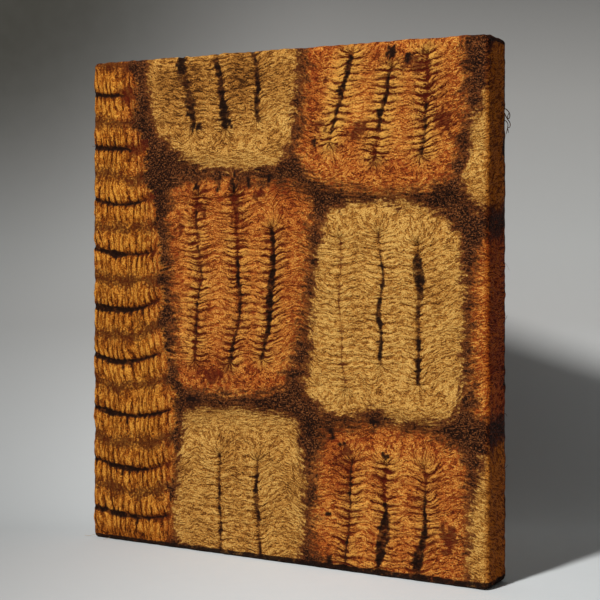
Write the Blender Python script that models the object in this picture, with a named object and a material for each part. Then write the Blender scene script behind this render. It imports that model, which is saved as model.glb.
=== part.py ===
"""A stitch-dyed raffia cloth stretched over a mitred softwood frame that stands on its lower edge.

Metres, +Z up, the front towards -Y, the origin under the middle of the frame. Places on the cloth's face
are written in millimetres, measured across and up from the face's lower left corner.
"""

import math
from collections import namedtuple

import bmesh
import bpy
import numpy as np
from mathutils import Vector, noise

MM = 0.001
INCH = 25.4 * MM

# The frame: 16 x 18 inches outside, from 1 3/8 inch stock
FRAME_WIDTH = 16 * INCH
FRAME_HEIGHT = 18 * INCH
FRAME_DEPTH = 34.9 * MM
BAR_WIDTH = 20 * MM
BAR_CORNER = 3.5 * MM
BAR_FALL = 1.5 * MM
CLEARANCE = 0.3 * MM

# The cloth: its wall on the sides and back, and its front, which the gathers raise and draw in
SIDE_WALL = 1.5 * MM
FRONT_GROUND = 2.0 * MM
HIGHEST_CREST = 1.0 * MM
DEEPEST_GATHER = 1.0 * MM
BACK_MARGIN = 16 * MM
FRONT_ROUND = 4 * MM
CORNER_ROUND = 5 * MM
BACK_ROUND = 1.2 * MM
SIDE_WAVE = 0.45 * MM
SHARP_ANGLE = math.radians(50)

WIDTH = FRAME_WIDTH + 2 * (SIDE_WALL + CLEARANCE)
HEIGHT = FRAME_HEIGHT + 2 * (SIDE_WALL + CLEARANCE)
DEPTH = HIGHEST_CREST + FRONT_GROUND + CLEARANCE + FRAME_DEPTH + CLEARANCE + SIDE_WALL
FRONT_Y = -DEPTH / 2
GROUND_Y = FRONT_Y + HIGHEST_CREST
INNER_Y = GROUND_Y + FRONT_GROUND
BACK_Y = DEPTH / 2
FACE_W = WIDTH / MM
FACE_H = HEIGHT / MM

# Upright lines of gathering stitches. The numbers are places across, at the heights of the first row.
GUIDE_HEIGHTS = (0, 50, 100, 150, 200, 250, 300, 350, 400, 461)
UPRIGHT_GUIDES = {
    "strip edge": (94, 96, 98, 96, 84, 82, 76, 66, 58, 54),
    "line 1": (119, 119, 119, 119, 119, 126, 121, 121, 118, 103),
    "line 2": (148, 148, 146, 153, 164, 168, 165, 159, 154, 143),
    "line 3": (188, 187, 187, 189, 195, 203, 203, 196, 188, 184),
    "seam": (240, 237, 239, 230, 236, 238, 243, 232, 228, 234),
    "line 4": (278, 281, 283, 276, 273, 273, 272, 264, 274, 286),
    "line 5": (310, 315, 319, 314, 312, 311, 310, 306, 316, 327),
    "line 6": (343, 354, 351, 349, 346, 350, 344, 345, 355, 354),
    "last edge": (391, 392, 391, 388, 388, 389, 388, 380, 391, 391),
}

# Level lines of stitches across the strip at the left: heights at the left edge, at the sag and at the end
StripLine = namedtuple("StripLine", "left sag end sag_at end_at")
STRIP_LINES = (
    StripLine(30, 25, 30, 55, 90),
    StripLine(78, 70, 78, 52, 85),
    StripLine(128, 121, 130, 45, 92),
    StripLine(180, 172, 182, 30, 78),
    StripLine(225, 222, 236, 40, 82),
    StripLine(283, 275, 278, 38, 72),
    StripLine(330, 323, 328, 35, 65),
    StripLine(380, 377, 374, 30, 48),
    StripLine(431, 428, 427, 25, 40),
)
STRIP_LINE_DEPTH = 1.5
STRIP_LINE_HALF_WIDTH = 3.2
STRIP_PILLOW = 0.75
STRIP_PILLOW_AT = 12
STRIP_PILLOW_HALF_WIDTH = 8
STRIP_RIB = 0.28
STRIP_RIB_STARTS = 4
STRIP_RIB_ENDS = 20
STRIP_SIDE_FADE = 8

# The dyed blocks, each pulled into a low cushion by its gathers
Block = namedtuple("Block", "left right bottom top dye")
BLOCKS = (
    Block(60, 227, 357, 490, "gold"),
    Block(240, 388, 338, 490, "rust"),
    Block(93, 236, 152, 343, "rust"),
    Block(245, 388, 137, 320, "gold"),
    Block(100, 234, -30, 131, "gold"),
    Block(246, 390, -30, 122, "rust"),
    Block(392, 440, 319, 399, "gold"),
    Block(397, 440, 145, 265, "rust"),
    Block(397, 440, -30, 92, "gold"),
)
BLOCK_CORNER = 30
BLOCK_RISE = 16
BLOCK_CROWN = 0.45

# Each gather: the upright line it runs along, where it begins and ends, and how deep it is drawn
Gather = namedtuple("Gather", "line low high depth")
GATHERS = (
    Gather("line 1", 398, 461, 1.5),
    Gather("line 2", 392, 461, 1.3),
    Gather("line 3", 398, 461, 0.9),
    Gather("line 4", 376, 448, 1.7),
    Gather("line 5", 362, 436, 1.7),
    Gather("line 6", 364, 446, 1.4),
    Gather("line 1", 178, 328, 1.2),
    Gather("line 2", 177, 330, 1.6),
    Gather("line 3", 183, 300, 1.9),
    Gather("line 4", 160, 292, 0.6),
    Gather("line 5", 183, 296, 1.0),
    Gather("line 6", 168, 287, 1.6),
    Gather("line 2", 0, 92, 0.9),
    Gather("line 3", 0, 90, 1.4),
    Gather("line 4", 6, 97, 1.1),
    Gather("line 5", 8, 97, 1.6),
    Gather("line 6", 8, 97, 1.4),
)
GATHER_HALF_WIDTH = 4.2
GATHER_FADE = 9
SHOULDER = 0.4
SHOULDER_AT = 9
SHOULDER_WIDTH = 5

PUCKER = 0.4
PUCKER_ACROSS = 11
PUCKER_UP = 6.5
PUCKER_SLICE = 0.7
EDGE_FADE = 9
EDGE_RELIEF = 0.35

# How the face is divided into columns between two neighbouring guides, closest beside the stitches
STRIP_STEPS = 28
BETWEEN_LINES = (0, 0.11, 0.27, 0.5, 0.73, 0.89)
AFTER_LINE = (0, 0.11, 0.27, 0.6)
COLUMN_STEPS = {
    "left": tuple(i / STRIP_STEPS for i in range(STRIP_STEPS)),
    "strip edge": (0, 0.3, 0.6, 0.84),
    "line 1": BETWEEN_LINES,
    "line 2": BETWEEN_LINES,
    "line 3": AFTER_LINE,
    "seam": (0, 0.4, 0.73, 0.89),
    "line 4": BETWEEN_LINES,
    "line 5": BETWEEN_LINES,
    "line 6": AFTER_LINE,
    "last edge": (0, 0.5),
}

# How it is divided into rows: below the strip's lowest line, between two lines and over the highest
LOWEST_ROWS = (0, 0.34, 0.68)
BETWEEN_ROWS = (0, 0.09, 0.24, 0.5, 0.76, 0.91)
HIGHEST_ROWS = (0, 0.14, 0.4, 0.7)
ROWS_PER_RIB_SHIFT = 3

# The slow waves of the sides: how long they are, how the length drifts, and how they slant towards the back
Wave = namedtuple("Wave", "length drift drift_length slant_length")
SIDE_WAVES = Wave(17 * MM, 2.1, 41 * MM, 30 * MM)
TOP_WAVES = Wave(15 * MM, 1.7, 37 * MM, 26 * MM)

DYES = {
    "gold": (0.46, 0.27, 0.10),
    "rust": (0.36, 0.12, 0.035),
    "amber": (0.40, 0.19, 0.035),
    "ground": (0.045, 0.020, 0.011),
}


def smooth(value):
    """0 below 0, 1 above 1, and an even curve between."""
    t = min(max(value, 0.0), 1.0)
    return t * t * (3 - 2 * t)


def guide_at(name, up):
    return float(np.interp(up, GUIDE_HEIGHTS, UPRIGHT_GUIDES[name]))


def strip_line_height(line, across):
    return float(np.interp(across, (0, line.sag_at, line.end_at), (line.left, line.sag, line.end)))


def into_block(block, across, up):
    """How far a place lies inside a block's rounded outline; negative outside it."""
    middle_x = (block.left + block.right) / 2
    middle_z = (block.bottom + block.top) / 2
    corner = min(BLOCK_CORNER, (block.right - block.left) / 2, (block.top - block.bottom) / 2)
    dx = abs(across - middle_x) - (block.right - block.left) / 2 + corner
    dz = abs(up - middle_z) - (block.top - block.bottom) / 2 + corner
    outside = math.hypot(max(dx, 0), max(dz, 0))
    return corner - outside - min(max(dx, dz), 0)


def dye_at(across, up):
    """The dye of a place on the face: the blocks first, then the strip at the left, else the ground."""
    for block in BLOCKS:
        if into_block(block, across, up) > 0:
            return block.dye
    return "amber" if across < guide_at("strip edge", up) - 2 else "ground"


def strip_relief(across, up, rib_sign):
    """The strip's rows of pillows, ribbed across each line of stitches."""
    heights = [strip_line_height(line, across) for line in STRIP_LINES]
    off = min(abs(up - height) for height in heights)
    line = -STRIP_LINE_DEPTH * math.exp(-((off / STRIP_LINE_HALF_WIDTH) ** 2))
    pillow = STRIP_PILLOW * math.exp(-(((off - STRIP_PILLOW_AT) / STRIP_PILLOW_HALF_WIDTH) ** 2))
    begins = smooth(off / STRIP_RIB_STARTS)
    ends = smooth((STRIP_RIB_ENDS - off) / STRIP_PILLOW_HALF_WIDTH)
    return line + pillow + STRIP_RIB * rib_sign * begins * ends


def gather_relief(across, up):
    """The furrows of the upright gathers and the rolls that stand beside them."""
    depth = 0.0
    roll = 0.0
    for gather in GATHERS:
        held = smooth((up - gather.low) / GATHER_FADE) if gather.low > 0 else 1.0
        held *= smooth((gather.high - up) / GATHER_FADE) if gather.high < FACE_H else 1.0
        if held <= 0:
            continue
        off = abs(across - guide_at(gather.line, up))
        depth -= held * gather.depth * math.exp(-((off / GATHER_HALF_WIDTH) ** 2))
        roll = max(roll, held * SHOULDER * math.exp(-(((off - SHOULDER_AT) / SHOULDER_WIDTH) ** 2)))
    return depth + roll


def relief(across, up, rib_sign):
    """Height of the front over the flat ground, in millimetres."""
    in_strip = smooth((guide_at("strip edge", up) - across) / STRIP_SIDE_FADE)
    height = in_strip * strip_relief(across, up, rib_sign)
    for block in BLOCKS:
        height += BLOCK_CROWN * smooth(into_block(block, across, up) / BLOCK_RISE)
    puckered = PUCKER * noise.noise(Vector((across / PUCKER_ACROSS, up / PUCKER_UP, PUCKER_SLICE)))
    height += (1 - in_strip) * (gather_relief(across, up) + puckered)
    edge = min(across, up, FACE_W - across, FACE_H - up) - FRONT_ROUND / MM
    height *= EDGE_RELIEF + (1 - EDGE_RELIEF) * smooth(edge / EDGE_FADE)
    return min(max(height, -DEEPEST_GATHER / MM), HIGHEST_CREST / MM)


def column_places():
    """(left guide, right guide, share of the way) of each column of points across the face."""
    names = ["left", *UPRIGHT_GUIDES, "right"]
    columns = []
    for left, right in zip(names, names[1:]):
        columns += [(left, right, share) for share in COLUMN_STEPS[left]]
    return columns + [("right", "right", 0)]


def across_at(place, up):
    """Where a column of points lies at this height."""
    edges = {"left": FRONT_ROUND / MM, "right": FACE_W - FRONT_ROUND / MM}
    left, right, share = place
    start = edges[left] if left in edges else guide_at(left, up)
    end = edges[right] if right in edges else guide_at(right, up)
    return start + (end - start) * share


def row_places():
    """(number of the strip line below, share of the way to the next one) of each row of points."""
    rows = [(-1, share) for share in LOWEST_ROWS]
    for number in range(len(STRIP_LINES) - 1):
        rows += [(number, share) for share in BETWEEN_ROWS]
    last = len(STRIP_LINES) - 1
    rows += [(last, share) for share in HIGHEST_ROWS]
    return rows + [(last, 1)]


def up_at(place, across):
    """The height of a row of points at this place across."""
    number, share = place
    heights = [FRONT_ROUND / MM]
    heights += [strip_line_height(line, across) for line in STRIP_LINES]
    heights += [FACE_H - FRONT_ROUND / MM]
    return heights[number + 1] + (heights[number + 2] - heights[number + 1]) * share


def make_front(bm):
    """The front face as one grid whose columns and rows follow the lines of stitches."""
    columns = column_places()
    rows = row_places()
    across_count = len(columns) - 1
    up_count = len(rows) - 1
    bmesh.ops.create_grid(bm, x_segments=across_count, y_segments=up_count, size=0.5)
    for vert in bm.verts:
        column = round((vert.co.x + 0.5) * across_count)
        row = round((vert.co.y + 0.5) * up_count)
        up = up_at(rows[row], across_at(columns[column], FACE_H * row / up_count))
        across = across_at(columns[column], up)
        rib_sign = 1 if (column + row // ROWS_PER_RIB_SHIFT) % 2 else -1
        height = relief(across, up, rib_sign)
        vert.co = (across * MM - WIDTH / 2, GROUND_Y - height * MM, up * MM)


def open_edges(bm):
    return [edge for edge in bm.edges if edge.is_boundary]


def add_ring(bm, outwards, level, keep_relief):
    """One more ring of cloth round the face, moved outwards and set at a depth, with a share of the relief."""
    before = {vert for edge in open_edges(bm) for vert in edge.verts}
    low = Vector((min(v.co.x for v in before), 0, min(v.co.z for v in before)))
    high = Vector((max(v.co.x for v in before), 0, max(v.co.z for v in before)))
    bmesh.ops.extrude_edge_only(bm, edges=open_edges(bm))
    tiny = 1e-5
    for vert in {vert for edge in open_edges(bm) for vert in edge.verts}:
        x, y, z = vert.co
        x += outwards * ((x > high.x - tiny) - (x < low.x + tiny))
        z += outwards * ((z > high.z - tiny) - (z < low.z + tiny))
        vert.co = (x, level + keep_relief * (y - GROUND_Y), z)


def turn_over_edges(bm):
    """The cloth's rounded front edge, its sides and the small turn at the back."""
    half_turn = FRONT_ROUND * math.sin(math.radians(45))
    add_ring(bm, half_turn, GROUND_Y + FRONT_ROUND - half_turn, 0.5)
    add_ring(bm, FRONT_ROUND - half_turn, GROUND_Y + FRONT_ROUND, 0)
    add_ring(bm, 0, BACK_Y - BACK_ROUND, 0)
    add_ring(bm, -BACK_ROUND, BACK_Y, 0)
    bmesh.ops.holes_fill(bm, edges=open_edges(bm), sides=0)


def round_corners(bm):
    """The four corners, seen from the front, brought in from square to round."""
    middle = HEIGHT / 2
    for vert in bm.verts:
        dx = abs(vert.co.x) - (WIDTH / 2 - CORNER_ROUND)
        dz = abs(vert.co.z - middle) - (HEIGHT / 2 - CORNER_ROUND)
        if dx <= 0 or dz <= 0:
            continue
        pull = 1 - max(dx, dz) / math.hypot(dx, dz)
        vert.co.x -= math.copysign(dx * pull, vert.co.x)
        vert.co.z -= math.copysign(dz * pull, vert.co.z - middle)


def wave_at(wave, along, deep):
    """How far a side is drawn in at this place along it and this depth: from 0 to SIDE_WAVE."""
    turn = along / wave.length + wave.drift * math.sin(along / wave.drift_length) + deep / wave.slant_length
    return SIDE_WAVE * (0.5 + 0.5 * math.sin(turn))


def wave_sides(bm):
    """The slight unevenness of the top and the two sides; the lower edge and the back stay flat."""
    for vert in bm.verts:
        x, y, z = vert.co
        behind = smooth((y - GROUND_Y) / FRONT_ROUND)
        if behind <= 0:
            continue
        to_side = smooth((WIDTH / 2 - CORNER_ROUND - abs(x)) / CORNER_ROUND + 1)
        to_top = smooth((HEIGHT - CORNER_ROUND - z) / CORNER_ROUND + 1)
        at_side = abs(x) > WIDTH / 2 - BACK_ROUND - MM
        at_top = z > HEIGHT - BACK_ROUND - MM
        if at_side and not at_top and z > CORNER_ROUND:
            vert.co.x -= math.copysign(behind * to_top * wave_at(SIDE_WAVES, z, y), x)
        if at_top and not at_side:
            vert.co.z -= behind * to_side * wave_at(TOP_WAVES, x, y)


def dye_material(name):
    material = bpy.data.materials.new("raffia_" + name)
    material.use_nodes = True
    shader = material.node_tree.nodes["Principled BSDF"]
    shader.inputs["Base Color"].default_value = (*DYES[name], 1)
    shader.inputs["Roughness"].default_value = 0.85
    shader.inputs["Metallic"].default_value = 0
    material.diffuse_color = (*DYES[name], 1)
    return material


def dye_faces(mesh):
    """Each face takes the dye of its middle; the cloth's sides carry on the colours of the face's rim."""
    names = list(DYES)
    for name in names:
        mesh.materials.append(dye_material(name))
    for face in mesh.polygons:
        across = (face.center.x + WIDTH / 2) / MM
        face.material_index = names.index(dye_at(across, face.center.z / MM))


def new_object(name, bm):
    mesh = bpy.data.meshes.new(name)
    bm.to_mesh(mesh)
    bm.free()
    obj = bpy.data.objects.new(name, mesh)
    bpy.context.scene.collection.objects.link(obj)
    return obj


def box_cutter(name, low, high, corner):
    """A box for a Boolean to take away, its four edges along Y bevelled."""
    bm = bmesh.new()
    bmesh.ops.create_cube(bm, size=1)
    low, high = Vector(low), Vector(high)
    bmesh.ops.scale(bm, vec=high - low, verts=bm.verts)
    bmesh.ops.translate(bm, vec=(low + high) / 2, verts=bm.verts)
    if corner:
        along_y = [e for e in bm.edges if abs(e.verts[0].co.y - e.verts[1].co.y) > MM]
        bmesh.ops.bevel(bm, geom=along_y, offset=corner, segments=1, affect="EDGES", profile=0.5)
    cutter = new_object(name, bm)
    cutter.hide_render = True
    cutter.display_type = "WIRE"
    return cutter


def cut(obj, cutter):
    modifier = obj.modifiers.new(cutter.name, "BOOLEAN")
    modifier.object = cutter
    modifier.operation = "DIFFERENCE"
    modifier.solver = "EXACT"


def make_cloth():
    """The cloth: one closed sheet over the front and sides of the frame, with a margin behind it."""
    bm = bmesh.new()
    make_front(bm)
    turn_over_edges(bm)
    round_corners(bm)
    wave_sides(bm)
    cloth = new_object("raffia_cloth", bm)
    dye_faces(cloth.data)
    cloth.data.shade_smooth()
    cloth.data.set_sharp_from_angle(angle=SHARP_ANGLE)
    wall = SIDE_WALL
    cut(cloth, box_cutter(
        "space_for_frame",
        (wall - WIDTH / 2, INNER_Y, wall),
        (WIDTH / 2 - wall, BACK_Y - wall, HEIGHT - wall),
        BAR_CORNER,
    ))
    cut(cloth, box_cutter(
        "open_back",
        (BACK_MARGIN - WIDTH / 2, 0, BACK_MARGIN),
        (WIDTH / 2 - BACK_MARGIN, DEPTH, HEIGHT - BACK_MARGIN),
        0,
    ))


def wood_material(name):
    material = bpy.data.materials.new(name + "_pine")
    material.use_nodes = True
    shader = material.node_tree.nodes["Principled BSDF"]
    shader.inputs["Base Color"].default_value = (0.62, 0.43, 0.24, 1)
    shader.inputs["Roughness"].default_value = 0.6
    shader.inputs["Metallic"].default_value = 0
    material.diffuse_color = (0.62, 0.43, 0.24, 1)
    return material


def make_bar(name, length, centre, turn):
    """One mitred bar, drawn lying along X with its outer edge down, then turned into its place.

    Its front face falls away from the outer edge, so that the cloth touches the frame there only.
    """
    half = length / 2
    joint = CLEARANCE / math.sqrt(2)
    outline = (
        (half - BAR_CORNER, 0),
        (half - BAR_CORNER / 2 - joint, BAR_CORNER / 2),
        (half - BAR_WIDTH - joint, BAR_WIDTH),
        (BAR_WIDTH + joint - half, BAR_WIDTH),
        (BAR_CORNER / 2 + joint - half, BAR_CORNER / 2),
        (BAR_CORNER - half, 0),
    )
    bm = bmesh.new()
    face = bm.faces.new([bm.verts.new((x, -FRAME_DEPTH / 2, z)) for x, z in outline])
    made = bmesh.ops.extrude_face_region(bm, geom=[face])["geom"]
    back = [part for part in made if isinstance(part, bmesh.types.BMVert)]
    bmesh.ops.translate(bm, vec=(0, FRAME_DEPTH, 0), verts=back)
    for vert in bm.verts:
        if vert.co.y < 0 and vert.co.z > BAR_WIDTH - MM:
            vert.co.y += BAR_FALL
    bmesh.ops.recalc_face_normals(bm, faces=bm.faces)
    bar = new_object(name, bm)
    bar.data.materials.append(wood_material(name))
    bar.location = centre
    bar.rotation_euler = (0, turn, 0)


def make_frame():
    """Four bars, each placed by the middle of its outer edge."""
    middle_y = INNER_Y + CLEARANCE + FRAME_DEPTH / 2
    base = SIDE_WALL + CLEARANCE
    middle_z = base + FRAME_HEIGHT / 2
    half = FRAME_WIDTH / 2
    quarter = math.pi / 2
    make_bar("stretcher_bar_bottom", FRAME_WIDTH, (0, middle_y, base), 0)
    make_bar("stretcher_bar_left", FRAME_HEIGHT, (-half, middle_y, middle_z), quarter)
    make_bar("stretcher_bar_top", FRAME_WIDTH, (0, middle_y, base + FRAME_HEIGHT), 2 * quarter)
    make_bar("stretcher_bar_right", FRAME_HEIGHT, (half, middle_y, middle_z), -quarter)


for old in list(bpy.data.objects):
    bpy.data.objects.remove(old)
make_cloth()
make_frame()
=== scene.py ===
# %% [markdown]
# # A stitch-dyed raffia cloth, stretched over a wooden frame
#
# The real object is a piece of raffia cloth. Lines of thread were sewn into it, drawn up tight and knotted,
# and the gathered cloth was dipped in gold, rust and dark brown dye. With the threads cut out again, each
# line is still a furrow with small ribs on both sides, because dry raffia keeps its creases. The cloth is
# then pulled over a frame of four pine bars, with a narrow margin turned in behind.
#
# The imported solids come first. They fix the size and the place of everything, so nothing is fitted by eye.

import math
from collections import namedtuple

import bmesh
import bpy
import numpy as np
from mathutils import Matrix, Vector, noise


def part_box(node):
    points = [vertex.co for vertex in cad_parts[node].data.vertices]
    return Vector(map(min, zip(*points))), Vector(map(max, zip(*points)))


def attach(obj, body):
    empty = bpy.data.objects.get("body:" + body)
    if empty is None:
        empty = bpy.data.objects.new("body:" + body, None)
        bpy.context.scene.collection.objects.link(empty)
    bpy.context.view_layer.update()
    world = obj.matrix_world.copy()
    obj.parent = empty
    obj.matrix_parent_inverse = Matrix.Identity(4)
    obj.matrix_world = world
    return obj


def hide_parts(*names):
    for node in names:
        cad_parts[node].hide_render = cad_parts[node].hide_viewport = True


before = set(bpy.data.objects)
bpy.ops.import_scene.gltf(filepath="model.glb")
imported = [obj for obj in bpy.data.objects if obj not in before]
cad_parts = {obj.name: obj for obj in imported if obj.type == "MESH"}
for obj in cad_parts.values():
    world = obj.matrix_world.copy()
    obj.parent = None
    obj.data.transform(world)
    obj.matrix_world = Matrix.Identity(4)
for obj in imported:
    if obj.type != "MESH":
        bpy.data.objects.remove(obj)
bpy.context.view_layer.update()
cloth_low, cloth_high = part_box("raffia_cloth")
BARS = sorted(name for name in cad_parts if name.startswith("stretcher_bar"))
print("bars:", BARS)

# %% [markdown]
# ## Measures
#
# All places on the cloth are written in millimetres, across and up from the lower left corner of its face,
# as if it lay flat in front of us. The cloth goes on past the face: over the rounded edge, along the sides
# and behind the bars, so its flat places run from about -56 to 56 more than the width.

# %% Sizes of the cloth's face, its edges and its wall
MM = 0.001
WIDTH = cloth_high.x - cloth_low.x
HEIGHT = cloth_high.z - cloth_low.z
FACE_W = WIDTH / MM
FACE_H = HEIGHT / MM
GROUND_Y = cloth_low.y + 1.0 * MM
BACK_Y = cloth_high.y
INNER_Y = -17.0 * MM
WALL = 1.5 * MM
EDGE_ROUND = 4.0 * MM
RIM_CORNER = 1.0 * MM
BACK_ROUND = 1.2 * MM
MARGIN = 16.0 * MM
print("face:", round(FACE_W, 1), "x", round(FACE_H, 1), "mm")

# %% [markdown]
# ## Unevenness
#
# Handwork is never regular, so most measures below get a soft random drift. Blender's own noise gives the
# same values on every run. Two lengths in millimetres say how wide and how tall its bumps are.

# %% Helpers for soft random drift and soft steps


def drift(across, up, wide, tall, layer):
    """Soft unevenness from about -1 to 1 at each place, with bumps of the given size."""
    places = zip(across / wide, up / tall)
    return np.array([noise.noise(Vector((a, b, layer))) for a, b in places])


def soft_step(value):
    """0 below 0, 1 above 1, and an even curve between."""
    t = np.clip(value, 0, 1)
    return t * t * (3 - 2 * t)


def bump_at(distance, half_width):
    """1 where the distance is 0, fading on both sides."""
    return np.exp(-((distance / half_width) ** 2))


print("drift at one place:", drift(np.array([10.0]), np.array([20.0]), 7, 7, 0.5).round(3))

# %% [markdown]
# ## The sewn lines
#
# Two kinds of lines organise the whole cloth. Six numbered threads run upright through the blocks, and nine
# level ones run across the strip at the left, each sagging a little in the middle. Three more upright lines
# aren't sewn: they follow the edges of the rows of blocks. All are made by hand, so they wander, and a short
# table of places for each is enough when the places between are blended smoothly.

# %% Upright lines and the strip's level lines
LINE_HEIGHTS = (0, 50, 100, 150, 200, 250, 300, 350, 400, 461)
UPRIGHT_LINES = {
    "strip edge": (94, 96, 98, 96, 84, 82, 76, 66, 58, 54),
    1: (119, 119, 119, 119, 119, 126, 121, 121, 118, 103),
    2: (148, 148, 146, 153, 164, 168, 165, 159, 154, 143),
    3: (188, 187, 187, 189, 195, 203, 203, 196, 188, 184),
    "seam": (240, 237, 239, 230, 236, 238, 243, 232, 228, 234),
    4: (278, 281, 283, 276, 273, 273, 272, 258, 267, 286),
    5: (310, 315, 319, 314, 312, 311, 310, 303, 313, 327),
    6: (343, 354, 351, 349, 346, 350, 344, 345, 355, 354),
    "last edge": (391, 392, 391, 388, 388, 389, 388, 380, 391, 391),
}
StripLine = namedtuple("StripLine", "left sag end sag_at end_at")


def table(kind, *rows):
    """Rows of numbers as named tuples of one kind."""
    return [kind(*row) for row in rows]


STRIP_LINES = table(
    StripLine,
    (30, 25, 30, 55, 90), (78, 70, 78, 52, 85), (128, 121, 130, 45, 92),
    (180, 172, 182, 30, 78), (225, 222, 236, 40, 82), (283, 275, 278, 38, 72),
    (330, 323, 328, 35, 65), (380, 377, 374, 30, 48), (431, 428, 427, 25, 40),
)
ALL_HEIGHTS = np.arange(-60, 523)
BLEND = np.hanning(29) / np.hanning(29).sum()
WANDER = 4.2
TREMBLE = 1.5


def blended(places, layer):
    """A line's place at every millimetre of height, with its corners rounded off and a little wander."""
    straight = np.interp(ALL_HEIGHTS, LINE_HEIGHTS, places)
    rounded_off = np.convolve(np.pad(straight, len(BLEND) // 2, "edge"), BLEND, "valid")
    level = np.zeros(len(ALL_HEIGHTS))
    wander = WANDER * drift(level, ALL_HEIGHTS, 1, 36, layer)
    return rounded_off + wander + TREMBLE * drift(level, ALL_HEIGHTS, 1, 13, layer)


LINES = {name: blended(places, 90.3 + 3.7 * i) for i, (name, places) in enumerate(UPRIGHT_LINES.items())}


def line_at(name, up):
    return np.interp(up, ALL_HEIGHTS, LINES[name])


def strip_line_at(line, across):
    """The height of one of the strip's lines, on a soft curve through its three places."""
    first = np.clip(across / line.sag_at, 0, 1)
    second = np.clip((across - line.sag_at) / (line.end_at - line.sag_at), 0, 1)
    ease = 1 - (1 - first) ** 2
    return line.left + (line.sag - line.left) * ease + (line.end - line.sag) * second**2


print(len(LINES), "upright lines,", len(STRIP_LINES), "strip lines")

# %% [markdown]
# ## The sheet
#
# The cloth is one closed sheet. Its face starts as a plain grid whose columns are then drawn to the upright
# lines and whose rows are drawn to the strip's lines, so that every furrow has points along its bottom.
# Columns stand closer beside a line, where the cloth bends most. Each count is of the columns from the left
# rim, or from one line, to the next line.

# %% Columns and rows of the grid
COLUMN_COUNTS = dict(zip(["left", *LINES], (44, 18, 20, 21, 21, 20, 20, 20, 20, 9)))
INNER_COLUMN_COUNTS = dict.fromkeys(COLUMN_COUNTS, 5)
ROW_COUNTS = (18, *[35] * (len(STRIP_LINES) - 1), 20)
INNER_ROW_COUNTS = (3, *[6] * (len(STRIP_LINES) - 1), 3)
CLOSE_AT_LINE = 0.4
CLOSE_AT_ROW = 0.25
FITTING_ROUNDS = 3
RIM_STEPS = (0.35, 0.75, 1.25)


def shares(count, closer):
    """Places from 0 to just under 1, closer together near both ends."""
    t = np.arange(count) / count
    return t - closer * np.sin(2 * np.pi * t) / (2 * np.pi)


def grid_places(column_counts, row_counts, inset, rim_steps):
    """Where each row and column of the grid meets, as two arrays in millimetres."""
    names = ["left", *LINES, "right"]
    columns = [(a, b, t) for a, b in zip(names, names[1:]) for t in shares(column_counts[a], CLOSE_AT_LINE)]
    rows = [(i, t) for i, count in enumerate(row_counts) for t in shares(count, CLOSE_AT_ROW)]
    row_guess = np.linspace(0, FACE_H, len(rows))
    across = np.zeros((len(rows), len(columns)))
    up = np.tile(row_guess[:, None], (1, len(columns)))
    ends = {"left": inset, "right": FACE_W - inset}
    for _ in range(FITTING_ROUNDS):
        for c, (a, b, t) in enumerate(columns):
            start = ends[a] if a in ends else line_at(a, up[:, c])
            end = ends[b] if b in ends else line_at(b, up[:, c])
            across[:, c] = start + (end - start) * t
        for r, (i, t) in enumerate(rows):
            below = strip_line_at(STRIP_LINES[i - 1], across[r]) if i else inset
            above = strip_line_at(STRIP_LINES[i], across[r]) if i < len(STRIP_LINES) else FACE_H - inset
            up[r] = below + (above - below) * t
    across = np.pad(across, ((0, 1), (0, 1)), "edge")
    up = np.pad(up, ((0, 1), (0, 1)), "edge")
    across[:, -1] = FACE_W - inset
    up[-1] = FACE_H - inset
    return with_rim(across, up, inset + np.array(rim_steps))


def with_rim(across, up, insets):
    """A few more rows and columns right beside the rim, so that its small round corners come out smooth."""
    more = (len(insets), len(insets))
    sides = np.tile([*insets, *(FACE_W - insets)], (len(across), 1))
    across = np.pad(np.sort(np.hstack([across, sides]), axis=1), (more, (0, 0)), "edge")
    up = np.pad(up, ((0, 0), more), "edge")
    ends = np.tile([*insets, *(FACE_H - insets)], (up.shape[1], 1)).T
    return across, np.sort(np.vstack([up, ends]), axis=0)


face_across, face_up = grid_places(COLUMN_COUNTS, ROW_COUNTS, EDGE_ROUND / MM, RIM_STEPS)
print("grid of the face:", face_across.shape[1] - 1, "x", face_across.shape[0] - 1)

# %% [markdown]
# ## Turning the cloth over the edges
#
# From the rim of the grid the cloth is extruded ring by ring: over the rounded front edge, along the sides,
# round the back edge of the bars, inwards as a margin, and then back along its own inner side. Each point
# keeps where it lies on the flat cloth, which way the cloth's outer side faces there, and how much of the
# relief it takes. The layers of a bmesh carry such values.

# %% Lay the face grid, then extrude the rings
Layers = namedtuple("Layers", "cut outward lift")
EDGE_ANGLES = (22.5, 45, 67.5, 90)
SIDE_RINGS = 9
LIFT_LOST_ON_SIDES = 0.4


def new_layers(bm):
    vectors = bm.verts.layers.float_vector
    return Layers(vectors.new("cut"), vectors.new("outward"), bm.verts.layers.float.new("lift"))


def lay_grid(bm, layers, across, up, level, lift):
    """A grid whose points are moved to their places on the cloth; it faces the front."""
    rows, columns = across.shape[0] - 1, across.shape[1] - 1
    made = bmesh.ops.create_grid(bm, x_segments=columns, y_segments=rows, size=0.5)["verts"]
    for vert in made:
        column = round((vert.co.x + 0.5) * columns)
        row = round((vert.co.y + 0.5) * rows)
        place = (across[row, column], up[row, column])
        vert[layers.cut] = (*place, 0)
        vert[layers.lift] = lift
        vert[layers.outward] = (0, -1, 0)
        vert.co = (place[0] * MM - WIDTH / 2, level, place[1] * MM)
    return made


def past_corner(place):
    """How far a place is past the start of the rim's corners, sideways and up."""
    dx = abs(place.x) - (WIDTH / 2 - EDGE_ROUND - RIM_CORNER)
    dz = abs(place.z - HEIGHT / 2) - (HEIGHT / 2 - EDGE_ROUND - RIM_CORNER)
    return max(dx, 0), max(dz, 0)


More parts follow.
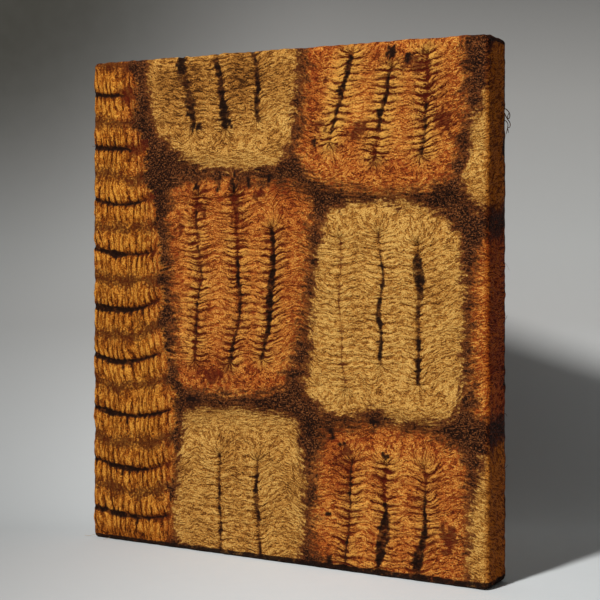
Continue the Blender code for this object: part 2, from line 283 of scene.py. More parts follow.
def round_rim_corners(verts):
    """The four corners of the rim, brought in from square to a small round."""
    for vert in verts:
        dx, dz = past_corner(vert.co)
        if dx > 0 and dz > 0:
            pull = 1 - max(dx, dz) / math.hypot(dx, dz)
            vert.co.x -= math.copysign(dx * pull, vert.co.x)
            vert.co.z -= math.copysign(dz * pull, vert.co.z - HEIGHT / 2)


def origins_of(ring, layers):
    """Each point's place, its place on the flat cloth and its way out of the rounded rectangle."""
    origins = {}
    for vert in ring:
        dx, dz = past_corner(vert.co)
        out = Vector((math.copysign(dx, vert.co.x), 0, math.copysign(dz, vert.co.z - HEIGHT / 2)))
        origins[vert] = (vert.co.copy(), Vector(vert[layers.cut]), out.normalized())
    return origins


def next_ring(bm, ring):
    """Extrudes the ring's open edges and hands each point's origin on to its new point."""
    edges = list({edge for vert in ring for edge in vert.link_edges if edge.is_boundary})
    bmesh.ops.extrude_edge_only(bm, edges=edges)
    made = {}
    for vert, origin in ring.items():
        for edge in vert.link_edges:
            other = edge.other_vert(vert)
            if other not in ring and any(link.is_boundary for link in other.link_edges):
                made[other] = origin
    return made


def turn_edges(bm, layers, ring):
    """Rings over the edge and along the sides; returns the last ring, at the back edge of the sides."""
    side_start = GROUND_Y + EDGE_ROUND
    side_end = BACK_Y - BACK_ROUND
    steps = [(math.radians(angle), None) for angle in EDGE_ANGLES]
    levels = np.linspace(side_start, side_end, SIDE_RINGS + 1)[1:]
    steps += [(math.pi / 2, float(level)) for level in levels]
    for angle, y in steps:
        ring = next_ring(bm, ring)
        travelled = angle * EDGE_ROUND + (0 if y is None else y - side_start)
        for vert, (place, cut, away) in ring.items():
            vert.co = place + away * EDGE_ROUND * math.sin(angle)
            vert.co.y = GROUND_Y + EDGE_ROUND * (1 - math.cos(angle)) if y is None else y
            vert[layers.cut] = cut + Vector((away.x, away.z, 0)) * travelled / MM
            vert[layers.outward] = away * math.sin(angle) + Vector((0, -1, 0)) * math.cos(angle)
            vert[layers.lift] = 1 - LIFT_LOST_ON_SIDES * math.sin(angle)
    return ring


# %% [markdown]
# The rings behind the bars are scaled inwards instead of offset, so the corners don't cross. The same loop
# then comes back along the inner side of the wall, and a second, coarse grid closes the sheet behind the
# face. The two loops have different numbers of points, which `bridge_loops` joins with triangles.

# %% Margin behind the bars, inner side and the closing grid
Turn = namedtuple("Turn", "inset level lift")
TURNS = table(
    Turn,
    (BACK_ROUND * 0.3, BACK_Y - BACK_ROUND * 0.3, 0.2),
    (BACK_ROUND, BACK_Y, 0.0),
    (6.5 * MM, BACK_Y, 0.0),
    (11.5 * MM, BACK_Y, 0.0),
    (MARGIN, BACK_Y, 0.0),
    (MARGIN, BACK_Y - WALL, 0.0),
    (WALL, BACK_Y - WALL, 0.0),
    (WALL, INNER_Y, 0.0),
    (5.0 * MM, INNER_Y, 0.0),
)
INNER_INSET = 9.0


def turn_in(bm, layers, ring):
    """The rings behind and inside the bars; returns the last one."""
    middle = Vector((FACE_W / 2, FACE_H / 2, 0))
    for turn in TURNS:
        ring = next_ring(bm, ring)
        wide = 1 - turn.inset / (WIDTH / 2)
        tall = 1 - turn.inset / (HEIGHT / 2)
        for vert, (place, cut, _) in ring.items():
            vert.co = (place.x * wide, turn.level, HEIGHT / 2 + (place.z - HEIGHT / 2) * tall)
            vert[layers.cut] = cut + (cut - middle) * (turn.inset / (WIDTH / 2))
            vert[layers.outward] = (0, 1, 0)
            vert[layers.lift] = turn.lift
    return ring


def close_inside(bm, layers, ring):
    """A coarser grid behind the face, bridged to the last ring."""
    across, up = grid_places(INNER_COLUMN_COUNTS, INNER_ROW_COUNTS, INNER_INSET, ())
    made = set(lay_grid(bm, layers, across, up, INNER_Y, 0))
    bmesh.ops.reverse_faces(bm, faces=list({face for vert in made for face in vert.link_faces}))
    edges = [edge for edge in bm.edges if edge.is_boundary]
    bmesh.ops.bridge_loops(bm, edges=sorted(edges, key=lambda edge: edge.verts[0] in ring))
    for vert in ring:
        vert[layers.cut] = (vert.co.x / MM + FACE_W / 2, vert.co.z / MM, 0)


def mesh_of(bm, name):
    """The finished bmesh as a mesh."""
    mesh = bpy.data.meshes.new(name)
    bm.to_mesh(mesh)
    bm.free()
    return mesh


def make_sheet():
    bm = bmesh.new()
    layers = new_layers(bm)
    face = lay_grid(bm, layers, face_across, face_up, GROUND_Y, 1)
    rim = [vert for vert in face if vert.is_boundary]
    round_rim_corners(face)
    ring = turn_edges(bm, layers, origins_of(rim, layers))
    ring = turn_in(bm, layers, origins_of(ring, layers))
    close_inside(bm, layers, ring)
    bmesh.ops.recalc_face_normals(bm, faces=bm.faces)
    open_edges = sum(not edge.is_manifold for edge in bm.edges)
    triangles = sum(len(face.verts) - 2 for face in bm.faces)
    print("sheet:", len(bm.verts), "points,", triangles, "triangles,", open_edges, "open edges")
    return mesh_of(bm, "stitch_dyed_raffia")


sheet_mesh = make_sheet()

# %% [markdown]
# ## Reading the flat cloth back
#
# From here on the relief is worked out for all points at once with numpy, which is far quicker than a loop.
# U is how far across the flat cloth a point lies and V how far up, both in millimetres.

# %% Read each point's place, outward direction and share of the relief


def read_values(name, size):
    """The sheet's values of one name, with a row for each of their parts."""
    values = np.zeros(len(sheet_mesh.vertices) * size, np.float32)
    sheet_mesh.attributes[name].data.foreach_get("value" if size == 1 else "vector", values)
    return values.reshape(-1, size).astype(float).T.copy()


U, V, _ = read_values("cut", 3)
outward = read_values("outward", 3).T
lift = read_values("lift", 1)[0]
for name, places in (("across", U), ("up", V)):
    print("flat cloth runs", name, "from", places.min().round(1), "to", places.max().round(1))

# %% [markdown]
# ## Where the dyes lie
#
# Each block was bound and dyed as one shape with soft corners, so its outline is drawn as a ring of places
# and rounded. What the material needs is not a hard mask but how far each point lies inside the outline: the
# edge can then bleed and break up in the shader at a much finer scale than the mesh.

# %% Outlines of the dyed blocks
OUTLINES = {
    "gold": (
        ((65, 530), (65, 461), (66, 430), (70, 406), (83, 386), (101, 369), (124, 358), (160, 353),
         (200, 355), (214, 364), (222, 385), (227, 420), (230, 461), (231, 530)),
        ((258, 312), (272, 321), (300, 323), (350, 321), (366, 312), (379, 302), (387, 285), (389, 240),
         (387, 200), (384, 165), (379, 139), (340, 133), (318, 137), (304, 149), (291, 138), (256, 135),
         (247, 150), (231, 158), (239, 172), (243, 200), (245, 240), (249, 285)),
        ((111, 133), (170, 135), (222, 133), (231, 118), (233, 95), (237, 65), (234, 35), (231, -4),
         (96, -4), (96, 35), (98, 62), (103, 95), (106, 120)),
        ((398, 316), (391, 325), (389, 345), (393, 370), (400, 393), (408, 412), (413, 435), (416, 457),
         (470, 460), (470, 318)),
        ((396, -60), (393, 30), (395, 70), (402, 92), (408, 119), (470, 121), (470, -60)),
    ),
    "rust": (
        ((240, 530), (240, 461), (237, 420), (231, 385), (228, 365), (243, 347), (262, 338), (300, 331),
         (350, 331), (366, 340), (378, 356), (385, 377), (388, 410), (389, 461), (389, 530)),
        ((102, 345), (92, 325), (90, 290), (93, 260), (98, 230), (97, 200), (98, 170), (108, 154),
         (130, 149), (170, 149), (205, 153), (213, 165), (219, 185), (229, 200), (237, 240), (239, 285),
         (240, 322), (234, 335), (205, 341), (160, 343), (122, 343)),
        ((247, -4), (246, 50), (249, 90), (253, 117), (268, 125), (300, 129), (345, 127), (376, 119),
         (388, 109), (391, 70), (391, 30), (392, -4)),
        ((398, 150), (396, 200), (396, 250), (401, 276), (410, 295), (470, 296), (470, 141), (408, 143)),
    ),
}


def rounded(outline, rounds=2):
    """Cuts the outline's corners a quarter of the way along each edge, twice, which rounds them."""
    points = np.array(outline, float)
    for _ in range(rounds):
        after = np.roll(points, -1, axis=0)
        points = np.stack([0.75 * points + 0.25 * after, 0.25 * points + 0.75 * after], 1).reshape(-1, 2)
    return points


def depth_inside(outline, across, up):
    """Millimetres from each place to the outline: more than 0 inside it, less than 0 outside."""
    points = rounded(outline)
    nearest = np.full(len(across), 1e9)
    crossed = np.zeros(len(across), int)
    for (ax, ay), (bx, by) in zip(points, np.roll(points, -1, axis=0)):
        dx, dy = bx - ax, by - ay
        t = np.clip(((across - ax) * dx + (up - ay) * dy) / (dx * dx + dy * dy), 0, 1)
        nearest = np.minimum(nearest, np.hypot(across - ax - t * dx, up - ay - t * dy))
        between = (ay > up) != (by > up)
        with np.errstate(divide="ignore", invalid="ignore"):
            left_of = across < ax + (up - ay) * dx / (by - ay if by != ay else 1e-9)
        crossed += between & left_of
    return np.where(crossed % 2 == 1, nearest, -nearest)


def depth_of_dye(name):
    """The depth inside the nearest block of one dye, never more than 30 mm either way."""
    best = np.full(len(U), -30.0)
    for outline in OUTLINES[name]:
        places = np.array(outline, float)
        low, high = places.min(0) - 30, places.max(0) + 30
        near = (U > low[0]) & (U < high[0]) & (V > low[1]) & (V < high[1])
        best[near] = np.maximum(best[near], depth_inside(outline, U[near], V[near]))
    return np.clip(best, -30, 30)


gold_depth = depth_of_dye("gold")
rust_depth = depth_of_dye("rust")
block_depth = np.maximum(gold_depth, rust_depth)
for name, depth in (("gold", gold_depth), ("rust", rust_depth)):
    print(name, "covers", round(100 * float((depth[lift == 1] > 0).mean())), "% of the face's points")

# %% [markdown]
# ## Ribs beside the gathers
#
# A gathering thread pulls the cloth into small ribs that stand square to it. They are highest beside the
# thread and die out within a thumb's width, and past the thread's end they fan out. Each gather in the
# table gives the line it runs along, where it begins and ends, and how deep it was drawn.
#
# The ribs follow a flow: a number that counts millimetres along the nearest threads, and turns round their
# ends. Wherever the flow is the same, the cloth lies on the same rib, so the broad ribs of the mesh and the
# fine ones of the material can both be drawn from it and always agree.

# %% Gathers, and the height of their ribs at each point
Gather = namedtuple("Gather", "line low high depth")
GATHERS = table(
    Gather,
    (1, 398, 530, 1.5), (2, 392, 530, 1.3), (3, 398, 530, 0.9),
    (4, 376, 452, 1.7), (5, 362, 438, 1.7), (6, 364, 448, 1.4),
    (1, 178, 330, 1.2), (2, 177, 332, 1.6), (3, 183, 300, 1.9),
    (4, 160, 292, 0.6), (5, 183, 296, 1.0), (6, 168, 287, 1.6),
    (2, -20, 92, 0.9), (3, -20, 90, 1.4),
    (4, 6, 97, 1.1), (5, 8, 97, 1.6), (6, 8, 97, 1.4),
)
RIB_PITCH = 7.0
RIB_REACH = 24.0
RIB_BOW = 1.6
RIB_REST = 0.62
LAST_SLANT = 0.38
FAN_RADIUS = 9.0
FURROW_HALF_WIDTH = 2.3


def ribbed(phase):
    """Broad crests at 1 and narrow grooves at 0, one rib for each whole number of the phase."""
    return np.abs(np.sin(np.pi * phase)) ** 0.75


def beside(gather):
    """Distance from the gather's thread and the place along it, which turns like a fan past its ends."""
    end = np.clip(V, gather.low, gather.high)
    past = V - end
    off = U - line_at(gather.line, end)
    turn = np.arctan2(np.abs(past), np.maximum(np.abs(off), 1e-6)) * np.sign(past)
    return np.hypot(off, past), end + FAN_RADIUS * turn


furrow, shoulder, flow, slant, past_end, flow_weight = np.zeros((6, len(U)))
nearest_thread = np.full(len(U), 99.0)
for number, gather in enumerate(GATHERS):
    distance, along = beside(gather)
    weight = 1 / (distance**2 + 25) ** 2
    flow += weight * along
    past_end += weight * np.maximum(np.maximum(gather.low - V, V - gather.high), 0)
    if gather.line in (3, 6):
        slant += weight * np.clip(U - line_at(gather.line, V), 0, 40)
    flow_weight += weight
    nearest_thread = np.minimum(nearest_thread, distance)
    near = np.flatnonzero(distance < 20)
    d, s, layer = distance[near], along[near], 5.3 * number
    width = FURROW_HALF_WIDTH * (1 + 0.45 * drift(s, s * 0, 7, 1, layer + 4))
    depth = gather.depth * (1 + 0.4 * drift(s, s * 0, 11, 1, layer + 6))
    furrow[near] = np.maximum(furrow[near], depth * bump_at(d, width))
    shoulder[near] = np.maximum(shoulder[near], 0.3 * gather.depth * bump_at(d - 6.5, 4))
past_end /= flow_weight
flow = (flow - LAST_SLANT * slant) / flow_weight - RIB_BOW * soft_step(nearest_thread / 20)
flow += 4.5 * drift(U, V, 24, 26, 3.3) + 2.4 * drift(U, V, 11, 12, 5.9)
rib_share = soft_step(1 - (nearest_thread - 4) / RIB_REACH) * (0.8 + 0.6 * drift(U, V, 12, 9, 7.1))
rib_share *= 1 - 0.75 * soft_step(past_end / 8)
block_rib = RIB_REST + (ribbed(flow / RIB_PITCH) - RIB_REST) * np.clip(rib_share, 0, 1)
print("ribbed points on the face:", round(100 * float((rib_share[lift == 1] > 0.5).mean())), "%")

# %% [markdown]
# ## The strip's rows
#
# Across the strip the threads lay level, so its ribs stand upright. They begin at the thread and fade
# towards the next one, where a soft brown band was left between two dips in the dye.

# %% Rows, ribs and bands of the strip
STRIP_PITCH = 6.6
BAND_STRENGTH = (0.9, 0.75, 0.8, 0.7, 0.8, 0.85, 0.7, 0.75, 0.8, 0.9)
LOWEST_BAND = -4
HIGHEST_BAND = 457
every_point = np.arange(len(U))
line_heights = np.array([strip_line_at(line, np.clip(U, 0, None)) for line in STRIP_LINES])
offs = V[None, :] - line_heights
closest = np.abs(offs).argmin(axis=0)
strip_off = offs[closest, every_point]
strip_end = np.array([line.end_at for line in STRIP_LINES])[closest]
band_number = (V[None, :] > line_heights).sum(axis=0)
strip_wander = 1.3 * drift(U, V, 26, 60, 31.5) + 0.3 * drift(U, V, 9, 26, 33.1)
strip_flow = U + STRIP_PITCH * (strip_wander + 0.37 * band_number) + 0.1 * strip_off
strip_phase = strip_flow / STRIP_PITCH
strip_fade = soft_step(np.abs(strip_off) / 2.5) * soft_step((21 - np.abs(strip_off)) / 11)
strip_rib = RIB_REST + (ribbed(strip_phase) - RIB_REST) * strip_fade

sags = np.array([line.sag for line in STRIP_LINES])
band_middle = np.array([LOWEST_BAND, *(sags[:-1] + sags[1:]) / 2, HIGHEST_BAND])
band_line = np.clip(band_number, 0, len(STRIP_LINES) - 1)
band_off = V - band_middle[band_number] - (line_heights - sags[:, None])[band_line, every_point]
band = np.array(BAND_STRENGTH)[band_number] * bump_at(band_off + 4 * drift(U, V, 15, 20, 35.3), 6.5)
notches = 7 * bump_at(band_off, 8) - 3 + 5 * soft_step((V - 370) / 30)
strip_depth = np.clip(line_at("strip edge", V) - 2 - notches - U, -30, 30)
in_strip = soft_step((line_at("strip edge", V) + 2 - U) / 8)
print("strip bands at", band_middle.round(0).tolist())

# %% [markdown]
# ## The relief
#
# Now all of it is added up as one height over the flat ground: the crown of each block, furrows with their
# shoulders, ribs, and puckers of two sizes. The ribs of the rust blocks stand highest. The heights stay
# between the solid's inner side and a little over its highest crest.

# %% Add the relief and move the points
MOST = 1.7
LEAST = -1.5
crown = 0.65 * soft_step(block_depth / 15)
gold_here = soft_step((gold_depth - rust_depth) / 10 + 0.5)
rib_height = (0.8 + 1.1 * (1 - gold_here)) * (block_rib - RIB_REST)
pucker = 0.45 * drift(U, V, 17, 12, 0.7) + 0.26 * drift(U, V, 6.5, 4.5, 8.1)
block_relief = crown - furrow + shoulder + rib_height + pucker
thread = (1.5 + 0.4 * drift(U, V, 9, 40, 41.1)) * bump_at(strip_off, 2.2)
thread *= soft_step((strip_end + 8 - U) / 14)
pillow = 0.9 * bump_at(np.abs(strip_off) - 11, 7)
strip_relief = pillow - thread + 1.5 * (strip_rib - RIB_REST) - 0.35 * band
relief = block_relief * (1 - in_strip) + (strip_relief + 0.6 * pucker) * in_strip
rim_distance = np.minimum(np.minimum(U, FACE_W - U), np.minimum(V, FACE_H - V))
edge_ease = 0.7 + 0.3 * soft_step((rim_distance - 2) / 10)
relief = np.clip(relief * edge_ease, LEAST, MOST)
resting = soft_step((V + 2.6) / 6)
sway = 1.3 * drift(U, V, 21, 19, 51.7) + 1.5 * drift(U, V, 7, 6, 53.9)
raised = lift * resting * (relief + sway * soft_step(-(rim_distance - 5) / 6))

points = np.zeros(len(U) * 3, np.float32)
sheet_mesh.vertices.foreach_get("co", points)
points = points.reshape(-1, 3) + (outward * raised[:, None] * MM).astype(np.float32)
sheet_mesh.vertices.foreach_set("co", points.ravel())
sheet_mesh.update()
sheet_mesh.shade_smooth()
print("relief from", relief.min().round(2), "to", relief.max().round(2), "mm")

# %% [markdown]
# ## Stains left by the thread
#
# The dark dye crept in along the threads and out along the grooves between the ribs, so each stain has teeth.
# Some threads left a dark line, others a dull red one, and both are wider in places. A few loose spots lie
# where dye dripped or pooled. Shades and brights are soft patches that took more or less of the dye.

# %% Tables of stains, spots and patches
Stain = namedtuple("Stain", "line low high width")
DARK_STAINS = table(
    Stain,
    (1, 402, 530, 6.0), (1, 178, 318, 0.5), (4, 8, 97, 0.9),
    (2, 394, 530, 5.4), (3, 398, 530, 4.0), (4, 378, 449, 3.8),
    (5, 385, 437, 3.4), (6, 364, 404, 2.8), (2, 178, 272, 3.0),
    (3, 183, 298, 3.8), (5, 183, 296, 1.7), (6, 168, 275, 3.0),
    (2, 3, 92, 1.8), (3, -20, 90, 2.4), (5, 6, 62, 3.2), (6, 8, 77, 3.0),
)
RED_STAINS = table(
    Stain,
    (5, 360, 388, 2.0), (6, 400, 446, 2.6), (1, 178, 328, 3.2),
    (2, 268, 330, 2.6), (4, 8, 97, 2.0), (4, 165, 290, 1.1),
    (5, 58, 97, 2.2), (6, 72, 97, 2.2),
)
Patch = namedtuple("Patch", "across up wide tall amount", defaults=(1,))
SHADES = table(
    Patch,
    (92, 425, 26, 60, 0.75), (122, 428, 13, 38, 1.3), (150, 435, 70, 50, 0.9), (172, 440, 28, 36, 1.35),
    (150, 338, 55, 12, 0.25), (215, 330, 25, 22, 0.5), (97, 260, 10, 70, 0.5), (130, 166, 26, 16, 0.75),
    (246, 400, 12, 50, 0.5), (290, 366, 22, 20, 0.6), (362, 408, 18, 34, 0.35), (264, 105, 26, 24, 0.75),
    (375, 25, 16, 26, 0.1), (300, 450, 50, 12, 0.3), (250, 20, 12, 26, 0.5), (30, 452, 60, 9, 0.6),
    (40, 7, 60, 6, 0.9), (88, 14, 9, 16, 0.9), (300, 120, 70, 14, 0.35), (165, 50, 60, 70, 0.3),
)
BRIGHTS = table(
    Patch,
    (293, 60, 9, 32, 0.55), (329, 68, 9, 26, 0.6), (106, 250, 9, 50, 0.3),
    (140, 240, 11, 50, 0.3), (262, 405, 9, 34, 0.5), (290, 405, 9, 34, 0.5),
)
WIDE_STAINS = table(
    Patch,
    (104, 450, 12, 14, 3.5), (118, 418, 12, 12, 2.6), (160, 407, 12, 12, 2.4), (203, 240, 12, 30, 1.6),
    (350, 261, 12, 17, 4.0), (310, 226, 12, 20, 1.2), (311, 192, 12, 6, 1.4), (314, 34, 12, 16, 5.2),
    (345, 20, 12, 20, 3.4), (188, 50, 12, 20, 1.0), (281, 440, 12, 14, 1.4),
)
DARK_SPOTS = table(
    Patch,
    (104, 452, 8, 8), (121, 395, 9, 6), (158, 397, 6, 5), (322, 452, 7, 8), (337, 444, 6, 6),
    (246, 375, 4, 5), (117, 140, 13, 7), (306, 133, 9, 6), (121, 342, 4, 12), (146, 340, 3, 9),
    (161, 341, 5, 12), (178, 344, 4, 9), (200, 345, 5, 7), (262, 122, 5, 4), (263, 115, 4, 3),
    (274, 111, 5, 3), (260, 50, 4, 3), (317, 105, 5, 4), (262, 8, 5, 6), (98, 137, 6, 6),
    (446, 372, 9, 22), (446, 181, 9, 2), (446, 168, 9, 2),
)
RED_SPOTS = table(
    Patch,
    (42, 430, 9, 9), (60, 378, 8, 9), (70, 330, 7, 7), (256, 431, 8, 5), (251, 391, 9, 6),
    (140, 163, 17, 8), (375, 40, 12, 18), (372, 390, 12, 12), (290, 385, 11, 10), (345, 440, 14, 12),
    (165, 325, 9, 14), (126, 318, 7, 10), (164, 309, 7, 8), (101, 300, 6, 7), (190, 330, 9, 6),
    (278, 106, 7, 7), (376, 62, 16, 1.6), (376, 38, 14, 1.6),
)
print(len(DARK_STAINS), "dark and", len(RED_STAINS), "red stains,", len(DARK_SPOTS) + len(RED_SPOTS), "spots")

# %% Helpers for stains, spots and patches


def soft_patch(patch, across, up):
    """The patch's amount in its middle, fading away over its width and height."""
    away = ((across - patch.across) / patch.wide) ** 2 + ((up - patch.up) / patch.tall) ** 2
    return patch.amount * np.exp(-away)


def most_of(patches):
    return np.maximum.reduce([soft_patch(patch, U, V) for patch in patches])


def stain_along(stains, creep, layer, wider=()):
    """How strongly each point is stained, with a ragged width and teeth along the grooves."""
    amount = np.zeros(len(U))
    for number, stain in enumerate(stains):
        end = np.clip(V, stain.low, stain.high)
        past = np.abs(V - end)
        off = np.hypot(U - line_at(stain.line, end), past)
        near = np.flatnonzero(off < 16)
        u, v = U[near], V[near]
        rag = 1 + 0.9 * drift(u, v, 40, 6, layer + number) + 0.7 * drift(u, v, 4, 2.5, layer)
        half = stain.width / 2 * rag + sum(soft_patch(patch, u, v) for patch in wider)
        teeth = creep * (1 - block_rib[near]) ** 2 * (1 - 0.9 * soft_step(past[near] / 3))
        teeth *= np.clip(0.5 + 2.2 * drift(u, v, 9, 7, layer + 0.5), 0, 2)
        strength = np.clip(0.85 + 0.7 * drift(u, v, 40, 12, layer + 0.7), 0.35, 1)
        strength *= soft_step((half + teeth - off[near]) / 2.6 + 0.5)
        amount[near] = np.maximum(amount[near], strength)
    return amount


def spots_at(spots, layer):
    """How strongly each point is stained by spots with ragged edges."""
    amount = np.zeros(len(U))
    for number, spot in enumerate(spots):
        away = np.hypot((U - spot.across) / spot.wide, (V - spot.up) / spot.tall)
        near = np.flatnonzero(away < 2)
        rough = 1.1 * drift(U[near], V[near], 3.5, 5, layer + number)
        amount[near] = np.maximum(amount[near], soft_step((1 - away[near] + rough) / 0.7))
    return amount


# %% Shades, and the stains of the strip
shade = np.clip(most_of(SHADES) + 0.35 * drift(U, V, 34, 30, 79.1), 0, 1.7)
shade -= 0.6 * np.clip(rib_share, 0, 1) * gold_here
shade -= most_of(BRIGHTS)
shade -= 0.4 * in_strip * bump_at(np.abs(strip_off) - 9, 6)
strip_half = 2.1 + 2.0 * drift(U, V * 0 + closest * 9.0, 17, 1, 61.3) + 0.9 * drift(U, V, 3, 2.5, 60.3)
strip_along = U / strip_end
strip_half *= 1.25 - 0.85 * soft_step((strip_along - 0.35) / 0.6)
strip_teeth = 6 * (1 - ribbed(strip_phase)) ** 3 * np.clip(0.7 + 1.8 * drift(U, V, 7, 12, 62.9), 0, 2)
strip_dark = soft_step((strip_half + strip_teeth - np.abs(strip_off)) / 2.2 + 0.4)
strip_dark *= soft_step((strip_end + 1 - U) / 5) * in_strip
strip_red = 1.1 * bump_at(np.hypot((U - strip_end - 1) / 14, strip_off / 11), 1) * in_strip
strip_red *= 0.45 + 0.6 * soft_step((V - 350) / 30)
strip_red = np.maximum(strip_red, bump_at(strip_off, 3) * soft_step((strip_along - 0.45) / 0.3) * in_strip)
print("shade from", shade.min().round(2), "to", shade.max().round(2))

# %% All dark stains together, with the painted shade along the bottom edge, and all red ones
# Painted shade along the bottom edge, where the cloth turns under onto the floor.
bottom_edge_painted_shade = soft_step((4.9 + 2.4 * U / FACE_W + 0.8 * drift(U, V, 9, 30, 81.7) - V) / 1.4)
back_edge = bump_at(points[:, 1] / MM - BACK_Y / MM + 1.0, 1.3)
back_edge *= np.clip(0.6 + 0.8 * drift(U, V, 9, 9, 85.3), 0, 1)
thread_dark = stain_along(DARK_STAINS, 4.0, 63.0, WIDE_STAINS)
stain = np.maximum.reduce([thread_dark, spots_at(DARK_SPOTS, 67.0), strip_dark, bottom_edge_painted_shade, back_edge])
groove_red = (1 - block_rib) ** 1.2 * bump_at(nearest_thread, 14) * 2.0 * soft_step((rust_depth + 2) / 6)
groove_red *= np.clip(0.7 + 1.1 * drift(U, V, 19, 15, 73.3), 0.1, 1.3)
reds = [stain_along(RED_STAINS, 6.5, 71.0), 1.1 * spots_at(RED_SPOTS, 77.0), 0.8 * strip_red, groove_red]
flush = np.clip(np.maximum.reduce(reds) + 0.4 * np.clip(shade, 0, 1) * (rust_depth > 0), 0, 1)
print("stained points on the face:", round(100 * float((stain[lift == 1] > 0.5).mean()), 1), "%")

# %% [markdown]
# ## What the material needs to know
#
# The material reads these values from the mesh, as it would read a hand-painted map. The last two to be
# worked out are how golden the crests beside a thread are in the rust blocks, and how far a point has turned
# from the front. Depths are in centimetres here.

# %% Write the values to the mesh
crest_gold = np.clip(1.4 * bump_at(nearest_thread, 12) * (1 - 0.5 * soft_step(past_end / 10)), 0, 1)
crest_patches = 0.6 + 0.9 * drift(U, V, 22, 26, 91.3) + 0.8 * soft_step((V - 340) / 20)
crest_gold *= (1 - gold_here) * np.clip(crest_patches, 0.15, 1.3)
side = 1 - np.clip(-outward[:, 1], 0, 1)

VALUES = dict(
    gold_depth=gold_depth / 10,
    rust_depth=rust_depth / 10,
    strip_depth=strip_depth / 10,
    flow=flow,
    strip_flow=strip_flow,
    strip_share=in_strip,
    strip_fade=strip_fade,
    rib_share=np.clip(rib_share, 0, 1),
    crest_gold=crest_gold,
    side=side,
    # Painted shade on the right side, which faces away from the key light, and a little on the other sides.
    painted_shade_tint=0.2 * side + 0.8 * np.clip(outward[:, 0], 0, 1),
    # The stain also carries the painted shade along the bottom edge.
    stain=stain,
    flush=flush,
    shade=shade,
    band=band * in_strip,
    furrow=np.maximum(furrow * (1 - in_strip), thread * in_strip),
)
for name, values in VALUES.items():
    sheet_mesh.attributes.new(name, "FLOAT", "POINT").data.foreach_set("value", values.astype(np.float32))
print("values on the mesh:", ", ".join(VALUES))

# %% [markdown]
# ## Shader helpers
#
# A material is a tree of nodes. Most of its nodes only add or multiply two values, so a small class lets us
# write such sums as formulas: each + or * adds a Math node and joins it up. Colours are written as they look
# on a screen, 0 to 255, and turned into the linear values that the shader needs.

# %% Wires: outputs of nodes that can be reckoned with


class Wire:
    """An output of a node. Arithmetic on it adds Math nodes to its tree."""

    def __init__(self, tree, socket):
        self.tree = tree
        self.socket = socket

    def __add__(self, other):
        return math_node("ADD", self, other)

    def __sub__(self, other):
        return math_node("SUBTRACT", self, other)

    def __rsub__(self, other):
        return math_node("SUBTRACT", other, self)

    def __mul__(self, other):
        return math_node("MULTIPLY", self, other)

    def __truediv__(self, other):
        return math_node("DIVIDE", self, other)


def fill(node, inputs):
    """Joins a wire to its input; anything else becomes the input's own value."""
    for key, value in inputs.items():
        if isinstance(value, Wire):
            value.tree.links.new(value.socket, node.inputs[key])
        else:
            node.inputs[key].default_value = value


def settle(made, **settings):
    """Sets properties by name."""
    for name, value in settings.items():
        setattr(made, name, value)
    return made


def add(tree, kind, inputs, output=0, **settings):
    """Adds a node with its settings and inputs, and returns one of its outputs."""
    node = settle(tree.nodes.new("ShaderNode" + kind), **settings)
    fill(node, inputs)
    return Wire(tree, node.outputs[output])


def math_node(operation, a, b=0.0, clamp=False):
    tree = a.tree if isinstance(a, Wire) else b.tree
    return add(tree, "Math", {0: a, 1: b}, operation=operation, use_clamp=clamp)


def all_outputs(wire):
    """Every output of the wire's node, by name."""
    return {socket.name: Wire(wire.tree, socket) for socket in wire.socket.node.outputs}


# %% Helpers for noise, colours, groups and materials


def cloud(place, scale, detail=2.0, rough=0.5):
    """A soft noise; the larger the scale, the smaller its bumps."""
    inputs = {"Vector": place, "Scale": scale, "Detail": detail, "Roughness": rough}
    return add(place.tree, "TexNoise", inputs)


def screen(red, green, blue):
    """A colour given as it looks on a screen, 0 to 255, returned as linear red, green, blue and alpha."""
    parts = [value / 255 for value in (red, green, blue)]
    return (*[p / 12.92 if p <= 0.04045 else ((p + 0.055) / 1.055) ** 2.4 for p in parts], 1)


def ramp(factor, stops, interpolation="EASE"):
    """A colour ramp with a stop for each row of a place and a colour's red, green and blue."""
    made = add(factor.tree, "ValToRGB", {"Fac": factor})
    colours = made.socket.node.color_ramp
    colours.interpolation = interpolation
    while len(colours.elements) < len(stops):
        colours.elements.new(0.5)
    for element, (place, *colour) in zip(colours.elements, stops):
        element.position = place
        element.color = screen(*colour)
    return made


def between(value, low, high):
    """0 where the value is at low, 1 where it is at high."""
    inputs = {"Value": value, "From Min": low, "From Max": high, "To Min": 0.0, "To Max": 1.0}
    return add(value.tree, "MapRange", inputs, clamp=True, interpolation_type="SMOOTHSTEP")


def mix(factor, a, b, blend="MIX"):
    """From colour a to colour b; inputs 6 and 7 and output 2 are the node's colour sockets."""
    return add(factor.tree, "Mix", {"Factor": factor, 6: a, 7: b}, 2, data_type="RGBA", blend_type=blend)


def value_of(tree, name):
    """One of the values that were written to the mesh."""
    return add(tree, "Attribute", {}, "Fac", attribute_name=name)


def new_group(name, inputs):
    """A node group and wires from its inputs: numbers are values, None and triples are vectors."""
    tree = bpy.data.node_groups.new(name, "ShaderNodeTree")
    for socket, value in inputs.items():
        kind = "NodeSocketFloat" if isinstance(value, float) else "NodeSocketVector"
        made = tree.interface.new_socket(socket, in_out="INPUT", socket_type=kind)
        if value is not None:
            made.default_value = value
    given = tree.nodes.new("NodeGroupInput").outputs
    return tree, {socket: Wire(tree, given[socket]) for socket in inputs}


def finish_group(tree, outputs):
    """Gives the group its outputs, each of the kind of the wire that feeds it."""
    for name, wire in outputs.items():
        kind = "NodeSocketColor" if wire.socket.type == "RGBA" else "NodeSocketFloat"
        tree.interface.new_socket(name, in_out="OUTPUT", socket_type=kind)
    fill(tree.nodes.new("NodeGroupOutput"), outputs)
    print("group:", tree.name, "with", len(tree.nodes), "nodes")


def new_material(name):
    """A material, its tree and its shader."""
    material = bpy.data.materials.new(name)
    material.use_nodes = True
    return material, material.node_tree, material.node_tree.nodes["Principled BSDF"]


print("screen grey 128 is linear", round(screen(128, 128, 128)[0], 3))
